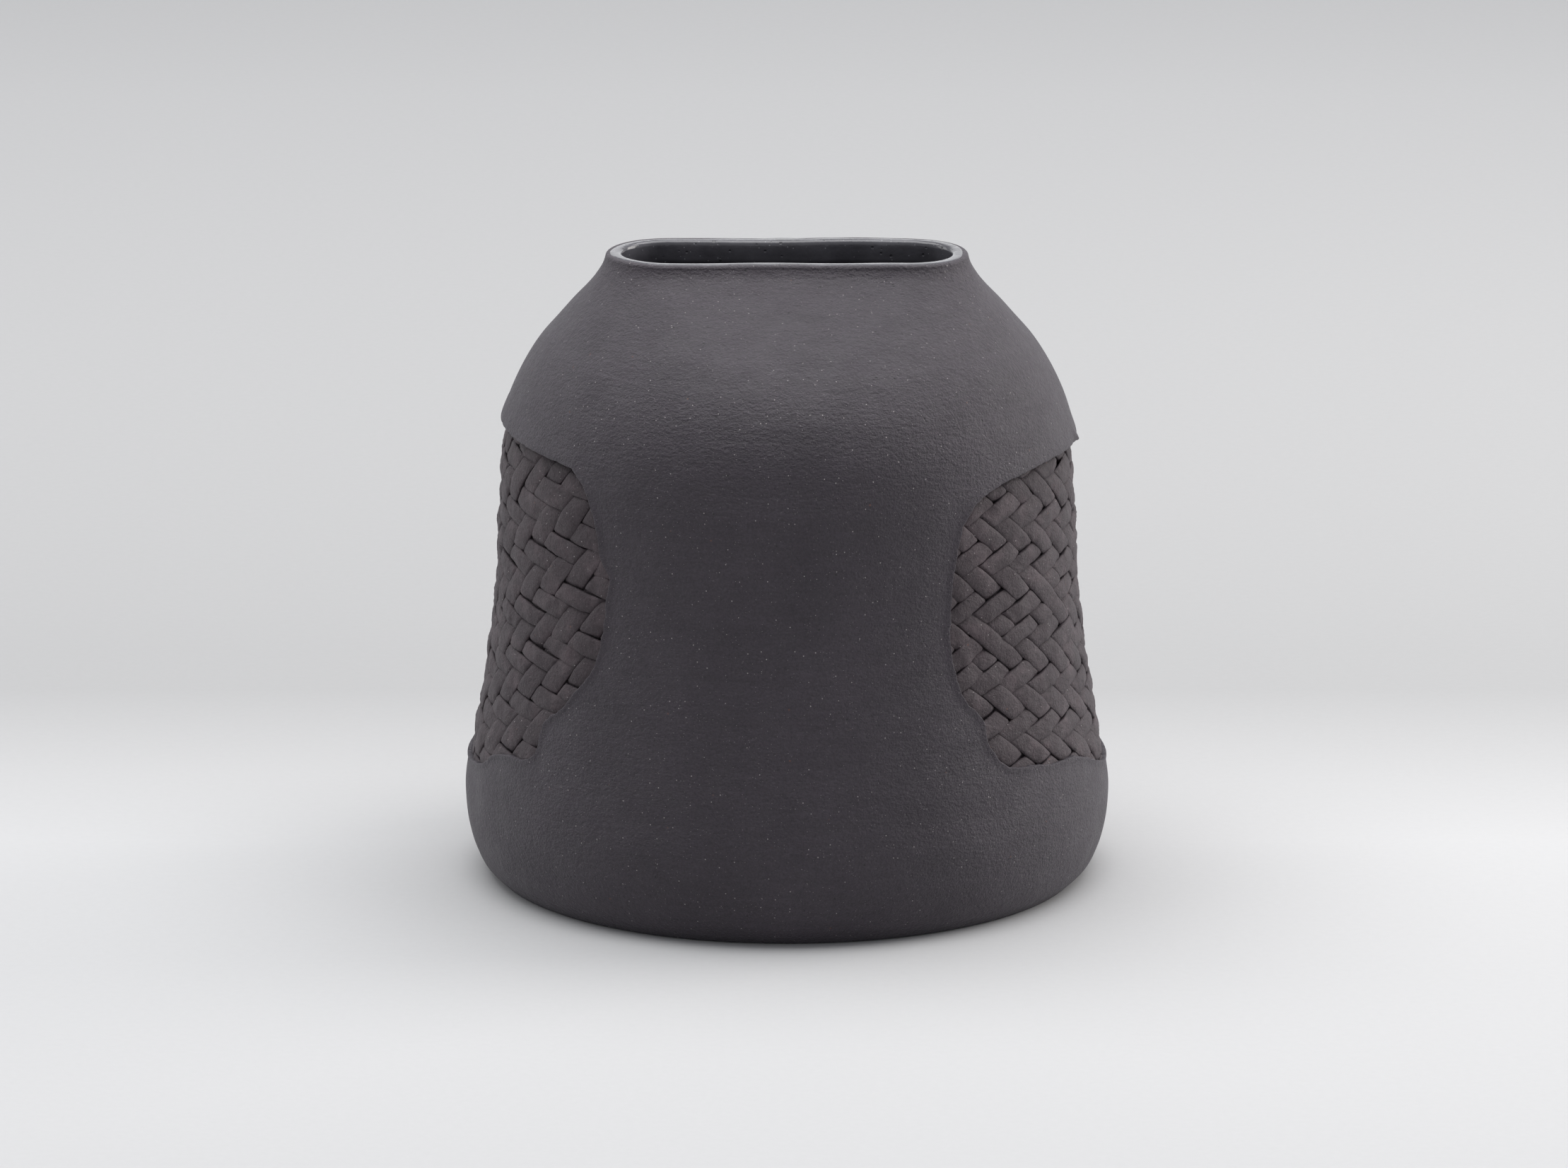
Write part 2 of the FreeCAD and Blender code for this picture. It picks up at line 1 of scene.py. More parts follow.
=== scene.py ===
import bpy
import math
import numpy as np
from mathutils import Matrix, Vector


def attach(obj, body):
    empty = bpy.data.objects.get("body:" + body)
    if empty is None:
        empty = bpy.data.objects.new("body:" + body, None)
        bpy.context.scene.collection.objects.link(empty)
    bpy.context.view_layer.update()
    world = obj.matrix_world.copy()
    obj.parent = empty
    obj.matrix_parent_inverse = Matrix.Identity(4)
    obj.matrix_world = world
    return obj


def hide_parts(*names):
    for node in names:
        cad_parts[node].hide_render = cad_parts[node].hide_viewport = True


# Black clay pot: smooth skin torn open at both sides over woven clay strips.
# Lengths below are millimetres; MM turns them into metres. Front is -Y.
MM = 0.001
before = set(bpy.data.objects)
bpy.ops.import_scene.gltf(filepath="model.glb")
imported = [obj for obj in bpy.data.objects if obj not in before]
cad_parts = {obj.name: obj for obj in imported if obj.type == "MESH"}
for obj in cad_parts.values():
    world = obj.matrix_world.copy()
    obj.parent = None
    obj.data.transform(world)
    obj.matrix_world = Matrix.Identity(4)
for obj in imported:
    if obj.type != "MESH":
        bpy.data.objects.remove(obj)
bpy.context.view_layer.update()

# ------------------------------------------------------------------ outer form
# BODY rows are height and radius; DOME and INSIDE rows are height, half length, half depth.
BODY = [(0.0, 69.2), (2.2, 71.5), (6.5, 73.8), (11.5, 75.2), (19.8, 75.9), (30.0, 74.9),
        (50.0, 71.8), (70.0, 69.6), (90.0, 68.5), (105.0, 67.5), (113.0, 65.6), (117.0, 64.0)]
DOME = [(105.0, 67.50, 67.50), (109.0, 66.75, 66.75), (113.0, 65.60, 65.60),
        (117.0, 64.00, 63.90), (122.0, 61.50, 60.70), (127.0, 58.30, 55.50),
        (132.0, 54.10, 47.80), (136.0, 50.70, 39.50), (140.0, 47.10, 30.00),
        (143.0, 44.80, 22.50), (146.0, 43.10, 16.80), (148.3, 42.40, 14.90)]
INSIDE = [(7.0, 66.9, 66.9), (11.5, 68.3, 68.3), (19.8, 69.0, 69.0), (30.0, 68.0, 68.0),
          (50.0, 64.9, 64.9), (70.0, 62.7, 62.7), (90.0, 61.6, 61.6), (105.0, 60.6, 60.6),
          (113.0, 58.7, 58.7), (117.0, 56.6, 55.8), (122.0, 53.2, 50.9), (127.0, 49.4, 43.9),
          (132.0, 45.1, 34.4), (136.0, 42.2, 25.4), (140.0, 40.1, 16.0), (143.0, 38.9, 11.6),
          (145.0, 38.6, 11.2), (148.0, 38.6, 11.15)]
# s is the distance round the body at radius ARC, from the front; z is the height.
ARC = 70.0
LIP_TOP = 148.8
SHOULDER = 113.0     # round body below, closing dome above
DOME_END = 147.9     # the dome stops here and the lip's corner begins


def spline(xs, ys, x):
    """Smooth curve through points, tangents from the neighbours."""
    xs, ys = np.asarray(xs, float), np.asarray(ys, float)
    slope = np.gradient(ys, xs)
    k = np.clip(np.searchsorted(xs, x) - 1, 0, len(xs) - 2)
    h = xs[k + 1] - xs[k]
    t = np.clip((x - xs[k]) / h, 0.0, 1.0)
    a = (1 + 2 * t) * (1 - t) ** 2
    b = t * (1 - t) ** 2
    c = t * t * (3 - 2 * t)
    d = t * t * (t - 1)
    return a * ys[k] + b * h * slope[k] + c * ys[k + 1] + d * h * slope[k + 1]


def body_radius(z):
    """Radius of the round body at a height."""
    return spline([p[0] for p in BODY], [p[1] for p in BODY], z)


def dome_halves(z, table):
    """Half length and half depth of a slot-shaped section at a height."""
    zs = [p[0] for p in table]
    return spline(zs, [p[1] for p in table], z), spline(zs, [p[2] for p in table], z)


def oval(a, b, turn):
    """Point on a slot-shaped section; turn is the share of the way round from the front."""
    s = np.maximum(a - b, 0.0)
    total = 4 * s + 2 * math.pi * b
    run = np.abs(turn) * total
    side = np.sign(turn)
    bend = np.clip((run - s) / b, 0.0, math.pi)
    x = np.where(run < s, run, s + b * np.sin(bend))
    x = np.where(run > s + math.pi * b, s - (run - s - math.pi * b), x)
    return side * x, -b * np.cos(bend)


def wrapped_quads(rows, columns):
    """Point numbers of a grid that closes on itself, and its quads."""
    index = np.arange(rows * columns).reshape(rows, columns)
    after = np.roll(index, -1, axis=1)
    return index, np.stack([index[:-1], after[:-1], after[1:], index[1:]], -1)


def mesh_piece(name, points, faces, smooth=True):
    """Mesh from an array of points in millimetres and an array of quads."""
    mesh = bpy.data.meshes.new(name)
    points = np.asarray(points, np.float32) * MM
    faces = np.asarray(faces, np.int32)
    mesh.vertices.add(len(points))
    mesh.vertices.foreach_set("co", points.ravel())
    mesh.loops.add(faces.size)
    mesh.loops.foreach_set("vertex_index", faces.ravel())
    mesh.polygons.add(len(faces))
    mesh.polygons.foreach_set("loop_start", np.arange(0, faces.size, 4, dtype=np.int32))
    mesh.polygons.foreach_set("loop_total", np.full(len(faces), 4, np.int32))
    mesh.polygons.foreach_set("use_smooth", np.full(len(faces), smooth))
    mesh.update(calc_edges=True)
    mesh.validate()
    piece = bpy.data.objects.new(name, mesh)
    bpy.context.scene.collection.objects.link(piece)
    return piece


def waves(s, z, seed, scale, count=6):
    """Smooth seeded unevenness, about -1 to 1, with features of a given size."""
    pick = np.random.default_rng(seed)
    total = np.zeros(np.broadcast(s, z).shape)
    for _ in range(count):
        way = pick.uniform(0, 2 * math.pi)
        size = scale * pick.uniform(0.7, 1.6)
        total += np.sin((s * math.cos(way) + z * math.sin(way)) * 2 * math.pi / size
                        + pick.uniform(0, 2 * math.pi))
    return total / math.sqrt(count * 2.0)


# ------------------------------------------------------------------- openings
# Outline of each opening: angle from the front in degrees, height.
LEFT_EDGE = [(-50, 108.2), (-46.8, 107), (-43.7, 104.2), (-42, 100.3), (-40.3, 95.3),
             (-39, 88.7), (-36.6, 83.4), (-37.2, 78.7), (-37.6, 72), (-38.6, 65.3),
             (-40.3, 60.3), (-43.8, 55.3), (-46.8, 50.8), (-50.6, 47.4), (-51.9, 44.5),
             (-52.3, 40.3), (-53.6, 37.8), (-56.7, 36.1), (-61.5, 35.8), (-67.6, 34),
             (-71, 31.2), (-77, 29), (-90, 27.5), (-108, 28.5), (-126, 35), (-136, 52),
             (-138, 75), (-134, 94), (-122, 106), (-104, 109), (-86, 109.5), (-68, 109.2)]
RIGHT_EDGE = [(40, 101.3), (38.2, 98.7), (36.5, 96.2), (35.1, 90.3), (33.8, 83.7),
              (33.1, 76.2), (32.7, 71), (32.9, 66.2), (33.8, 60.3), (35.1, 55.8),
              (37.5, 52.2), (39.3, 49.5), (39.6, 45.3), (41.3, 41.2), (43.3, 38.5),
              (46.4, 36.9), (50.5, 36.5), (57.3, 35), (64.1, 34.6), (68.2, 33.3),
              (72.3, 31.6), (77.8, 29.2), (86, 27.2), (104, 27.4), (122, 32), (134, 46),
              (138.5, 66), (137, 86), (128, 99.5), (112, 104.8), (92, 105.4), (77, 105.6),
              (64, 106.0), (52, 105.1), (45, 103.8)]


TEAR_WANDER, TEAR_SIZE = 0.16, 3.0


def outline(corners, seed):
    """Closed smooth outline in (s, z), with a torn edge's small wander."""
    knots = np.array([(math.radians(a) * ARC, z) for a, z in corners])
    steps = 24
    n = len(knots)
    points = []
    for i in range(n):
        p0, p1, p2, p3 = knots[i - 1], knots[i], knots[(i + 1) % n], knots[(i + 2) % n]
        for t in np.arange(steps) / steps:
            points.append(0.5 * (2 * p1 + (p2 - p0) * t + (2 * p0 - 5 * p1 + 4 * p2 - p3) * t * t
                                 + (3 * p1 - p0 - 3 * p2 + p3) * t ** 3))
    points = np.array(points)
    for axis in (0, 1):
        points[:, axis] += TEAR_WANDER * waves(points[:, 0], points[:, 1], seed + axis, TEAR_SIZE)
    return points


BATCH = 4000     # points measured at a time


def signed_distance(s, z, line):
    """Distance to a closed outline, negative inside, and the nearest point on it."""
    flat_s, flat_z = np.ravel(s), np.ravel(z)
    start, end = line, np.roll(line, -1, axis=0)
    way = end - start
    length2 = (way ** 2).sum(1)
    best = np.full(flat_s.shape, 1e9)
    near = np.zeros((len(flat_s), 2))
    inside = np.zeros(flat_s.shape, bool)
    for k in range(0, len(flat_s), BATCH):
        part = slice(k, k + BATCH)
        q = np.stack([flat_s[part], flat_z[part]], 1)[:, None, :]
        t = np.clip(((q - start) * way).sum(2) / length2, 0, 1)
        foot = start + t[:, :, None] * way
        gap = ((q - foot) ** 2).sum(2)
        pick = gap.argmin(1)
        rows = np.arange(len(pick))
        best[part] = np.sqrt(gap[rows, pick])
        near[part] = foot[rows, pick]
        crosses = (start[:, 1] > q[:, :, 1]) != (end[:, 1] > q[:, :, 1])
        with np.errstate(divide="ignore", invalid="ignore"):
            at = start[:, 0] + (q[:, :, 1] - start[:, 1]) * way[:, 0] / way[:, 1]
        inside[part] = ((q[:, :, 0] < at) & crosses).sum(1) % 2 == 1
    return np.where(inside, -best, best), near


PANELS = {"left": outline(LEFT_EDGE, 11), "right": outline(RIGHT_EDGE, 23)}
TOP_EDGE = {"left": 101.0, "right": 98.0}     # where the proud top edge starts
TOP_EDGE_FADE = 6.0


def top_edge_share(z, side):
    """1 along the top of an opening, where the skin stands well proud, 0 lower down."""
    return np.clip((z - TOP_EDGE[side]) / TOP_EDGE_FADE, 0.0, 1.0)


def skin_point(s, z, proud):
    """Point off the round body's surface."""
    radius = body_radius(z) + proud
    turn = s / ARC
    return np.stack([radius * np.sin(turn), -radius * np.cos(turn), z], -1)


def unevenness(s, z):
    """Hand-made unevenness of the outside, millimetres; it closes on itself at the back."""
    x = ARC * np.sin(s / ARC)
    y = ARC * np.cos(s / ARC)
    slow = waves(x, z, 3, 60.0) + waves(y, z, 5, 60.0)
    fine = waves(x, z, 4, 14.0) + waves(y, z, 6, 14.0)
    return 0.12 * slow + 0.035 * fine


def rim_dip(x, y, z):
    """How far the hand-made rim dips below level."""
    near_top = np.clip((z - 143.0) / 4.0, 0.0, 1.0)
    return near_top * (0.16 + 0.16 * waves(x, y, 31, 34.0).clip(-1, 1))


# ------------------------------------------------------------------- the skin
COLUMNS = 640
# how far the columns stand round the pot, as a share of a whole turn from the front
turns = (np.arange(COLUMNS) + 0.5) / COLUMNS - 0.5
body_rows = np.linspace(0.0, SHOULDER, 170)
dome_rows = np.linspace(SHOULDER, DOME_END, 90)[1:]
FAR_AWAY = 99.0
SEARCH = 6.0         # only points this near an opening are measured
S, Z = np.meshgrid(turns * 2 * math.pi * ARC, body_rows)
distance = np.full(S.shape, FAR_AWAY)
nearest = np.zeros(S.shape + (2,))
owner = np.full(S.shape, "", dtype="<U5")
for side, line in PANELS.items():
    zone = ((S > line[:, 0].min() - SEARCH) & (S < line[:, 0].max() + SEARCH)
            & (Z > line[:, 1].min() - SEARCH) & (Z < line[:, 1].max() + SEARCH))
    gap, near = signed_distance(S[zone], Z[zone], line)
    distance[zone] = gap
    nearest[zone] = near
    owner[zone] = side


def cell_mean(grid):
    """Mean of each cell's four corners, on a grid that closes on itself."""
    wrapped = np.concatenate([grid, grid[:, :1]], 1)
    return (wrapped[:-1, :-1] + wrapped[1:, :-1] + wrapped[:-1, 1:] + wrapped[1:, 1:]) / 4


# cells outside the openings stay; their border points move onto the outline
keep = cell_mean(distance) > 0.0
_, quads = wrapped_quads(*S.shape)
used = np.zeros(S.size, int)
np.add.at(used, quads[keep].ravel(), 1)
dropped = np.zeros(S.size, int)
np.add.at(dropped, quads[~keep].ravel(), 1)
border = ((used > 0) & (dropped > 0)).reshape(S.shape)
S2, Z2 = S.copy(), Z.copy()
S2[border] = nearest[border][:, 0]
Z2[border] = nearest[border][:, 1]
# the points next to the border spread out evenly behind it
SPREAD, ROUNDS = 2.4, 12
loose = (distance > 0) & (distance < SPREAD) & ~border
for _ in range(ROUNDS):
    for grid in (S2, Z2):
        mean = (np.roll(grid, 1, 1) + np.roll(grid, -1, 1)) / 2
        mean[1:-1] = (mean[1:-1] * 2 + grid[:-2] + grid[2:]) / 4
        grid[loose] = 0.5 * grid[loose] + 0.5 * mean[loose]

side_is_left = owner == "left"
lip = np.where(side_is_left, top_edge_share(Z2, "left"), top_edge_share(Z2, "right"))
near_edge = np.where(border, 0.0, np.clip(distance, 0, FAR_AWAY))


def swelling(height, reach):
    """Ridge along a torn edge, dying away over a reach from it."""
    return height * np.exp(-(near_edge / reach) ** 2)


# top edges swell; the other edges have a fine ridge with a shallow dip behind it
flare = lip * swelling(0.50, 3.0)
flare += (1 - lip) * (swelling(0.34, 0.7) - swelling(0.12, 4.0))
# a burr of clay stands out on the right opening's top edge
BURR, BURR_HEIGHT, BURR_LENGTH, BURR_WIDTH = math.radians(84.0) * ARC, 0.8, 2.0, 1.6
flare += BURR_HEIGHT * lip * np.exp(-((S2 - BURR) / BURR_LENGTH) ** 2
                                    - (near_edge / BURR_WIDTH) ** 2)
body_xyz = skin_point(S2, Z2, unevenness(S2, Z2) + flare)

# dome and rim, then the rounding over the lip's outer corner
CORNER_IN, CORNER_UP, CORNER_FROM = 0.9, 0.85, 147.85
UNDER_GLAZE, UNDER_GLAZE_TOP = 1.6, 148.66     # the lip's top runs in below the glaze
sections = [(*dome_halves(z, DOME), z) for z in dome_rows]
end_a, end_b = dome_halves(DOME_END, DOME)
for turn in np.linspace(0.0, math.pi / 2, 7)[1:]:
    pull = CORNER_IN * (1 - math.cos(turn))
    sections.append((end_a - pull, end_b - pull, CORNER_FROM + CORNER_UP * math.sin(turn)))
last_a, last_b, _ = sections[-1]
sections.append((last_a - UNDER_GLAZE, last_b - UNDER_GLAZE, UNDER_GLAZE_TOP))
rows_a, rows_b, rows_z = (np.array(v)[:, None] for v in zip(*sections))
dome_x, dome_y = oval(rows_a, rows_b, turns[None, :])
wide_s = np.broadcast_to(turns[None, :] * 2 * math.pi * ARC, dome_x.shape)
fade = np.clip((LIP_TOP - rows_z) / 6.0, 0.15, 1.0)
reach = np.hypot(dome_x, dome_y)
swell = unevenness(wide_s, rows_z + 0 * wide_s) * fade
dome_x = dome_x * (1 + swell / reach)
dome_y = dome_y * (1 + swell / reach)
dome_xyz = np.stack([dome_x, dome_y, rows_z - rim_dip(dome_x, dome_y, rows_z)], -1)

# underside of the foot, folded in to the floor slab
foot_rows = [(69.2, 0.0), (68.2, 0.02), (67.2, 0.05)]
foot_xyz = []
for radius, z in foot_rows[:0:-1]:
    angle = turns * 2 * math.pi
    foot_xyz.append(np.stack([radius * np.sin(angle), -radius * np.cos(angle), 0 * angle + z], -1))
foot_xyz = np.array(foot_xyz)
body_xyz[0, :, 2] = 0.0
grid = np.concatenate([foot_xyz, body_xyz, dome_xyz], 0)
offset = len(foot_xyz)
index, all_quads = wrapped_quads(grid.shape[0], COLUMNS)
mask = np.ones(all_quads.shape[:2], bool)
mask[offset:offset + keep.shape[0]] = keep
points = grid.reshape(-1, 3)
faces = all_quads[mask]

# torn edges: a rolled corner, then down to the weave. The edges are the quads' sides that
# only one quad has, between two border points.
body_index = index[offset:offset + len(body_rows)]
pairs = np.concatenate([faces[:, [k, (k + 1) % 4]] for k in range(4)])
key = np.sort(pairs, 1)
order = np.lexsort((key[:, 1], key[:, 0]))
key_sorted = key[order]
same = np.zeros(len(order), bool)
same[1:] = (key_sorted[1:] == key_sorted[:-1]).all(1)
single = ~same & ~np.append(same[1:], False)
rim_pairs = pairs[order[single]]
flat_border = np.zeros(len(points), bool)
flat_border[body_index[border]] = True
rim_pairs = rim_pairs[flat_border[rim_pairs].all(1)]
ring = np.unique(rim_pairs)
back = -np.ones(len(points), int)
back[ring] = np.arange(len(ring))
ring_rc = ring - body_index[0, 0]
ring_s, ring_z = S2.ravel()[ring_rc], Z2.ravel()[ring_rc]
ring_flare = flare.ravel()[ring_rc]
ON_LINE = 2.0        # a ring point this near an outline belongs to it
way_in = np.zeros((len(ring), 2))
for line in PANELS.values():
    tangent = np.roll(line, -2, axis=0) - np.roll(line, 2, axis=0)
    tangent /= np.linalg.norm(tangent, axis=1)[:, None]
    area = 0.5 * np.sum(line[:, 0] * np.roll(line[:, 1], -1) - np.roll(line[:, 0], -1) * line[:, 1])
    inward = np.stack([-tangent[:, 1], tangent[:, 0]], 1) * np.sign(area)
    gap = (ring_s[:, None] - line[:, 0]) ** 2 + (ring_z[:, None] - line[:, 1]) ** 2
    pick = gap.argmin(1)
    hit = gap.min(1) < ON_LINE ** 2
    way_in[hit] = inward[pick[hit]]
ring_left = ring_s < 0
ring_lip = np.where(ring_left, top_edge_share(ring_z, "left"), top_edge_share(ring_z, "right"))
corner = 0.26 + 0.26 * ring_lip
loops = [ring]
extra = []
base = len(points)
profile = [(math.sin(t), 1 - math.cos(t)) for t in np.linspace(0, math.pi / 2, 5)[1:]]
# steps out into the opening and down towards the weave, in corner sizes to 1 and then further
for out, down in profile + [(0.8, 2.0), (-0.2, 3.4), (-1.2, 5.0)]:
    # below its corner a top edge is undercut, the other edges drop nearly straight
    shift = corner * out if down <= 1.0 else corner * 0.9 + (out - 0.8) * (0.2 + 0.8 * ring_lip)
    s = ring_s + way_in[:, 0] * shift
    z = ring_z + way_in[:, 1] * shift
    drop = corner * down if down <= 1.0 else corner + (down - 1.0) * 0.50
    extra.append(skin_point(s, z, unevenness(ring_s, ring_z) + ring_flare - drop))
    loops.append(base + np.arange(len(ring)))
    base += len(ring)
points = np.concatenate([points] + extra, 0)
walls = []
for upper, lower in zip(loops, loops[1:]):
    i, j = back[rim_pairs[:, 0]], back[rim_pairs[:, 1]]
    walls.append(np.stack([upper[j], upper[i], lower[i], lower[j]], 1))
faces = np.concatenate([faces] + walls, 0)
skin = mesh_piece("clay_skin", points, faces)
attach(skin, "root")
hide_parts("outer_skin", "rim_coil")

# --------------------------------------------------------------- woven strips
LEFT = {"side": -1, "lean": 0.84, "rank": 146.7, "step": 7.35, "slip": 99, "first": -3,
        "courses": [104.8, 100.0, 95.5, 90.6, 83.9, 79.0, 73.8, 69.0, 64.2, 59.3, 54.6, 50.8,
                    46.3, 42.0, 37.4, 32.6, 27.8, 23.0, 18.2, 13.4, 8.6, 3.8]}
RIGHT = {"side": 1, "lean": 1.235, "rank": 175.6, "step": 7.8, "slip": 6, "first": -3,
         "courses": [107.4, 102.2, 97.0, 91.9, 86.2, 80.4, 75.8, 70.8, 65.3, 60.2, 55.4, 50.4,
                     44.8, 39.8, 35.1, 30.4, 25.6, 20.8, 16.0, 11.2]}
RANKS = range(-20, 16)
LIFT = 0.95          # how far a strip rises where it goes over another
PUFF = 0.42          # extra swell in the middle of an over run
CROWN = 0.58         # how far a strip's sides fall below its middle
THICK = 1.15
CLIMB = 1.5          # length over which a strip climbs
BEHIND = 2.6         # strips run on this far behind the torn edge
TUCK = 2.6           # strips dive under the top edge over this height
ACROSS = np.array([-1.0, -0.95, -0.86, -0.62, -0.22, 0.22, 0.62, 0.86, 0.95, 1.0])


def climb(panel, s):
    """How far the course lines rise on their way round from the front."""
    if panel["side"] < 0:
        return 0.14 * s
    return 19.0 * (1.0 - np.exp(-(np.maximum(s, 34.0) - 45.0) / 40.0))


def crossing(panel, course, rank):
    """Where a course line meets a rank line, as (s, z); s runs away from the front."""
    s = rank - panel["lean"] * course
    for _ in range(30):
        s = rank - panel["lean"] * (course + climb(panel, s))
    return s, course + climb(panel, s)


def over(panel, a, b):
    """Whether the level strip lies over the rising one: over two, under two."""
    slip = 2 if a >= panel["slip"] else 0
    return (b - a + slip) % 4 in (0, 1)


def ease(t):
    """Soft step from 0 to 1."""
    t = np.clip(t, 0.0, 1.0)
    return t * t * (3 - 2 * t)


def top_of(line):
    """Height of an opening's top edge along its length."""
    places = np.linspace(np.abs(line[:, 0]).min(), np.abs(line[:, 0]).max(), 160)
    reach = 0.75 * (places[1] - places[0])
    tops = [line[np.abs(np.abs(line[:, 0]) - p) < reach + 0.4, 1].max() for p in places]
    return places, np.array(tops)


def strip_heights(marks, edges, states, seed):
    """Lift and width share along a strip. edges bound each crossing; states say over or under."""
    pick = np.random.default_rng(seed)
    lift = np.zeros(len(marks))
    wide = np.ones(len(marks))
    k = 0
    while k < len(states):
        if not states[k]:
            k += 1
            continue
        j = k
        while j + 1 < len(states) and states[j + 1]:
            j += 1
        a, b = edges[k], edges[j + 1]
        a += pick.uniform(-0.55, 0.55)
        b += pick.uniform(-0.55, 0.55)
        up = (ease((marks - (a - 0.55 * CLIMB)) / CLIMB)
              * ease(((b + 0.55 * CLIMB) - marks) / CLIMB))
        t = np.clip((marks - a) / (b - a), 0, 1)
        hump = up * (1 + pick.uniform(-0.25, 0.15)) + PUFF / LIFT * np.sin(math.pi * t) * (up > 0)
        lift = np.maximum(lift, hump)
        wide = wide * (1 + (pick.uniform(-0.05, 0.07) - 0.07 * (2 * t - 1) ** 4) * up)
        k = j + 1
    return lift, wide


def strip_mesh(panel, line, lip_line, family, number, centre, half, marks, lift, wide):
    """Points and quads of one puffy strip, trimmed to just behind the opening's edge."""
    right_side = panel["side"] > 0
    seed = 1000 * (1 if right_side else 2) + 100 * (family == "level") + number
    sway = 0.30 * waves(marks, 0 * marks, seed, 26.0) + 0.12 * waves(marks, 0 * marks, seed + 7, 8.0)
    mid = centre + sway
    level = family == "level"
    s, z = crossing(panel, mid, marks) if level else crossing(panel, marks, mid)
    gap, _ = signed_distance(panel["side"] * s, z, line)
    inside = np.nonzero(gap < BEHIND)[0]
    if len(inside) < 6:
        return None
    take = slice(inside[0], inside[-1] + 1)
    marks, mid, lift, wide = marks[take], mid[take], lift[take], wide[take]
    fall = 0.36 * ACROSS ** 2 + 0.64 * np.abs(ACROSS) ** 8
    tilt = 0.08 + 0.16 * waves(marks, 0 * marks, seed + 3, 13.0)
    across = mid[:, None] + half * wide[:, None] * ACROSS[None, :]
    along = marks[:, None] + 0 * across
    s, z = crossing(panel, across, along) if level else crossing(panel, along, across)
    lip_share = top_edge_share(z + 2.0, "right" if right_side else "left")
    places, tops = lip_line
    tuck = ease(1.0 - (np.interp(s, places, tops) - z) / TUCK) * (z > 84.0)
    # depth of the weave's outside below the skin: more higher up and under the top edge
    depth = 0.42 + 0.36 * ease((z - 34.0) / 16.0) + 0.55 * lip_share + 1.45 * tuck
    pressed = 0.80 + 0.36 * waves(s, z, 97, 19.0)
    top = -depth - LIFT - PUFF + LIFT * lift[:, None] + tilt[:, None] * ACROSS
    top = top - CROWN * np.clip(pressed, 0.25, 1.3) * fall[None, :]
    top = top + 0.11 * waves(s, z, seed + 5, 4.5) + 0.06 * waves(s, z, 93, 2.1)
    top = top + 0.14 * waves(s, z, 91, 26.0)
    under = -depth[:, :4] - LIFT - PUFF + LIFT * lift[:, None] - THICK
    pick = [8, 5, 4, 1]
    s_all = np.concatenate([s, s[:, pick]], 1)
    z_all = np.concatenate([z, z[:, pick]], 1)
    t_all = np.concatenate([top, under], 1)
    points = skin_point(panel["side"] * s_all, z_all, t_all)
    quads = wrapped_quads(*s_all.shape)[1].reshape(-1, 4)
    if right_side == level:
        quads = quads[:, ::-1]
    return points.reshape(-1, 3), quads


def weave(name, panel, line, family):
    """All strips of one family in one opening, as one piece."""
    courses = panel["courses"]
    mids = [(a + b) / 2 for a, b in zip(courses, courses[1:])]
    tops = [courses[0] + (courses[0] - mids[0])] + mids
    lows = mids + [courses[-1] - (mids[-1] - courses[-1])]
    ranks = [panel["rank"] + panel["step"] * b for b in RANKS]
    uneven = 0.35 * np.random.default_rng(5 + panel["side"]).uniform(-1, 1, len(ranks))
    ranks = [r + u for r, u in zip(ranks, uneven)]
    half_step = panel["step"] / 2
    rank_edges = [ranks[0] - half_step] + [(a + b) / 2 for a, b in zip(ranks, ranks[1:])]
    rank_edges.append(ranks[-1] + half_step)
    first = panel["first"]
    if family == "level":
        edges, spacing, seed = rank_edges, 0.5, 40
        bands = list(zip(tops, lows))
        plan = [[over(panel, k + first, b) for b in RANKS] for k in range(len(courses))]
    else:
        edges, spacing, seed = [lows[-1]] + tops[::-1], 0.36, 400
        bands = list(zip(rank_edges[1:], rank_edges))
        plan = [[not over(panel, k + first, b) for k in reversed(range(len(courses)))]
                for b in RANKS]
    marks = np.arange(edges[0], edges[-1], spacing)
    lip_line = top_of(line)
    all_points, all_quads, base = [], [], 0
    for k, ((upper, lower), states) in enumerate(zip(bands, plan)):
        lift, wide = strip_heights(marks, edges, states, seed + k)
        made = strip_mesh(panel, line, lip_line, family, k, (upper + lower) / 2,
                          (upper - lower) / 2, marks, lift, wide)
        if made:
            all_points.append(made[0])
            all_quads.append(made[1] + base)
            base += len(made[0])
    return mesh_piece(name, np.concatenate(all_points), np.concatenate(all_quads))


strips = []
for side, panel in (("left", LEFT), ("right", RIGHT)):
    for family in ("level", "rising"):
        piece = weave("%s_%s_weave" % (side, family), panel, PANELS[side], family)
        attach(piece, "root")
        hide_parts("%s_%s_strips" % (side, family))
        strips.append(piece)

# -------------------------------------------------------------- glaze coat
# over the lip, down the neck and the wall, round the bottom corner and across the floor
EDGE_A, EDGE_B = 41.4, 13.95
CORNER, CORNER_RADIUS, CORNER_Z = 1.3, 66.9, 8.4
BOTTOM = 7.0
sections = [(EDGE_A, EDGE_B, 148.62), (EDGE_A - 0.25, EDGE_B - 0.25, 148.76),
            (EDGE_A - 0.7, EDGE_B - 0.7, LIP_TOP), (39.9, 12.45, LIP_TOP),
            (39.4, 11.95, 148.74), (38.95, 11.5, 148.55), (38.7, 11.25, 148.2),
            (38.6, 11.15, 147.7)]
for z in np.concatenate([np.linspace(147.0, SHOULDER, 60), np.linspace(112.0, CORNER_Z, 80)]):
    sections.append((*dome_halves(z, INSIDE), z))
for t in np.linspace(0.1, 1.0, 8):
    radius = CORNER_RADIUS - CORNER * (1 - math.cos(t * math.pi / 2))
    sections.append((radius, radius, CORNER_Z - CORNER * math.sin(t * math.pi / 2)))
for radius in np.linspace(64.0, 0.4, 40):
    sections.append((radius, radius, BOTTOM))
